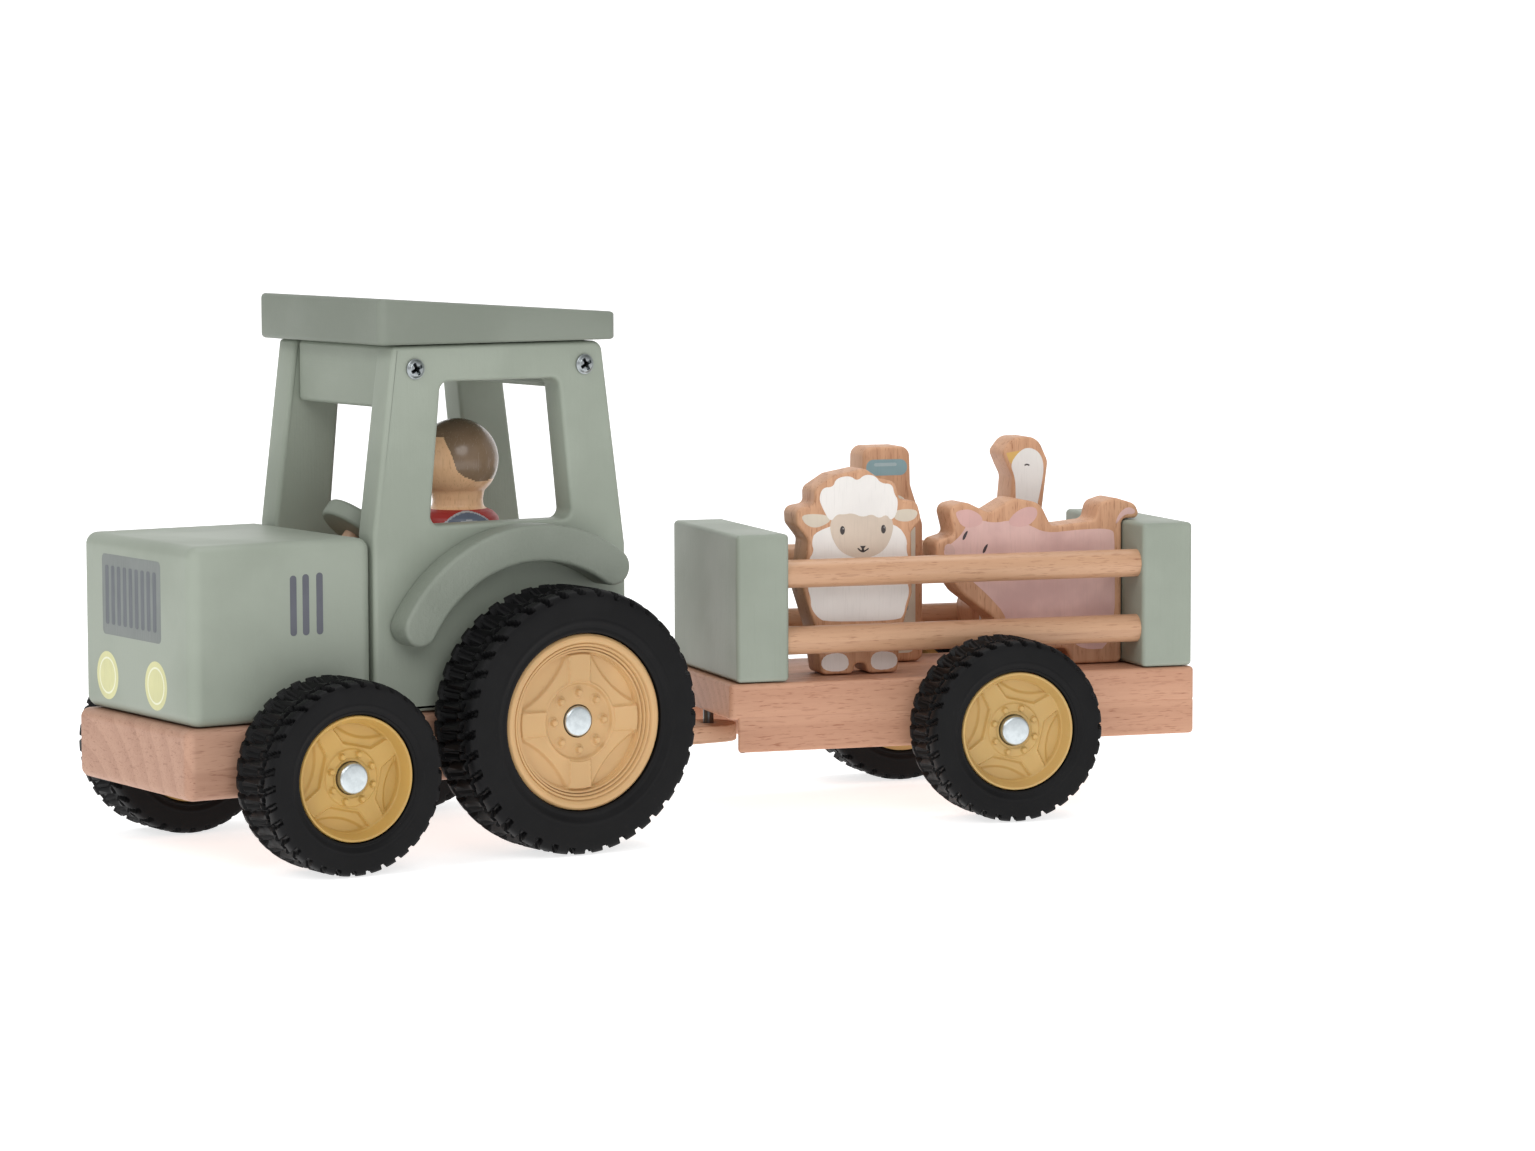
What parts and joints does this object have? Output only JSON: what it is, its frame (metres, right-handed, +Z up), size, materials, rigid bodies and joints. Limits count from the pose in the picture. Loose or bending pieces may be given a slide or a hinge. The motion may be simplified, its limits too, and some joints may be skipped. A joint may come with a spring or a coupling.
{
  "type": "toy tractor",
  "caption": "Wooden toy farm tractor with an open cab, a lift-out peg driver and rubber-tyred wheels, pulling a railed trailer on a swivelling hitch, loaded with farm animal cut-outs",
  "frame": {"origin": "on the ground, in the middle of the footprint of the tractor and its hitched trailer", "axes": "+Z up; the tractor's nose points along -Y; its left side is +X; the trailer stands 15 degrees off straight, its rear towards +X"},
  "size_m": [0.1391, 0.3232, 0.1496],
  "materials": {
    "sage_paint": "satin sage-green paint on wood",
    "beech": "bare sanded beech",
    "tyre": "matt black rubber",
    "small_rim_plastic": "satin mustard plastic",
    "rear_rim_plastic": "satin peach plastic",
    "steel": "zinc-plated",
    "driver_paint": "painted turned wood with a bare face",
    "sheep_print": "printed beech",
    "bottle_print": "printed beech",
    "goose_print": "printed beech",
    "pig_print": "printed beech"
  },
  "bodies": {
    "tractor": {"cab_screw_front_left": "steel", "cab_screw_front_right": "steel", "cab_screw_rear_left": "steel", "cab_screw_rear_right": "steel", "cab_side_left": "sage_paint", "cab_side_right": "sage_paint", "chassis_block": "beech", "dash_block": "beech", "fender_left": "sage_paint", "fender_right": "sage_paint", "front_axle": "steel", "front_cap_left": "steel", "front_cap_right": "steel", "front_lintel": "sage_paint", "hitch_tongue": "beech", "hood_block": "sage_paint", "rear_axle": "steel", "rear_cap_left": "steel", "rear_cap_right": "steel", "rear_lintel": "sage_paint", "roof": "sage_paint", "seat_block": "beech", "steering_column": "beech", "tongue_screw_front": "steel", "tongue_screw_rear": "steel"},
    "front_wheel_left": {"front_tyre_left": "tyre", "front_rim_left": "small_rim_plastic"},
    "front_wheel_right": {"front_tyre_right": "tyre", "front_rim_right": "small_rim_plastic"},
    "rear_wheel_left": {"rear_tyre_left": "tyre", "rear_rim_left": "rear_rim_plastic"},
    "rear_wheel_right": {"rear_tyre_right": "tyre", "rear_rim_right": "rear_rim_plastic"},
    "steering_wheel": {"steering_wheel": "sage_paint"},
    "driver": {"driver": "driver_paint"},
    "trailer": {"board_screw_front_left": "steel", "board_screw_front_right": "steel", "board_screw_rear_left": "steel", "board_screw_rear_right": "steel", "front_board": "sage_paint", "hitch_pin": "steel", "rail_lower_left": "beech", "rail_lower_right": "beech", "rail_upper_left": "beech", "rail_upper_right": "beech", "rear_board": "sage_paint", "trailer_axle": "steel", "trailer_bed": "beech", "trailer_cap_left": "steel", "trailer_cap_right": "steel"},
    "trailer_wheel_left": {"trailer_tyre_left": "tyre", "trailer_rim_left": "small_rim_plastic"},
    "trailer_wheel_right": {"trailer_tyre_right": "tyre", "trailer_rim_right": "small_rim_plastic"},
    "sheep": {"sheep": "sheep_print"},
    "bottle": {"bottle": "bottle_print"},
    "goose": {"goose": "goose_print"},
    "pig": {"pig": "pig_print"}
  },
  "joints": [
    {"name": "front_wheel_left_spin", "type": "hinge", "parent": "tractor", "child": "front_wheel_left", "pos_m": [-0.01, -0.12498, 0.0258], "axis": [1, 0, 0], "continuous": true},
    {"name": "front_wheel_right_spin", "type": "hinge", "parent": "tractor", "child": "front_wheel_right", "pos_m": [-0.01, -0.12498, 0.0258], "axis": [1, 0, 0], "continuous": true},
    {"name": "rear_wheel_left_spin", "type": "hinge", "parent": "tractor", "child": "rear_wheel_left", "pos_m": [-0.01, -0.05618, 0.036], "axis": [1, 0, 0], "continuous": true},
    {"name": "rear_wheel_right_spin", "type": "hinge", "parent": "tractor", "child": "rear_wheel_right", "pos_m": [-0.01, -0.05618, 0.036], "axis": [1, 0, 0], "continuous": true},
    {"name": "steering_wheel_turn", "type": "hinge", "parent": "tractor", "child": "steering_wheel", "pos_m": [-0.01, -0.09298, 0.086], "axis": [0, 0.6428, 0.766], "continuous": true},
    {"name": "driver_lift", "type": "slide", "parent": "tractor", "child": "driver", "axis": [0, 0, 1], "range_m": [0, 0.018]},
    {"name": "hitch_swivel", "type": "hinge", "parent": "tractor", "child": "trailer", "pos_m": [-0.01, 0.02032, 0.0249], "axis": [0, 0, 1], "range_deg": [-35, 65]},
    {"name": "trailer_wheel_left_spin", "type": "hinge", "parent": "trailer", "child": "trailer_wheel_left", "pos_m": [0.00899, 0.09091, 0.0258], "axis": [0.9657, -0.2598, 0], "continuous": true},
    {"name": "trailer_wheel_right_spin", "type": "hinge", "parent": "trailer", "child": "trailer_wheel_right", "pos_m": [0.00899, 0.09091, 0.0258], "axis": [0.9657, -0.2598, 0], "continuous": true},
    {"name": "sheep_lift", "type": "slide", "parent": "trailer", "child": "sheep", "axis": [0, 0, 1], "range_m": [0, 0.05]},
    {"name": "bottle_lift", "type": "slide", "parent": "trailer", "child": "bottle", "axis": [0, 0, 1], "range_m": [0, 0.05]},
    {"name": "goose_lift", "type": "slide", "parent": "trailer", "child": "goose", "axis": [0, 0, 1], "range_m": [0, 0.05]},
    {"name": "pig_lift", "type": "slide", "parent": "trailer", "child": "pig", "axis": [0, 0, 1], "range_m": [0, 0.05]}
  ]
}
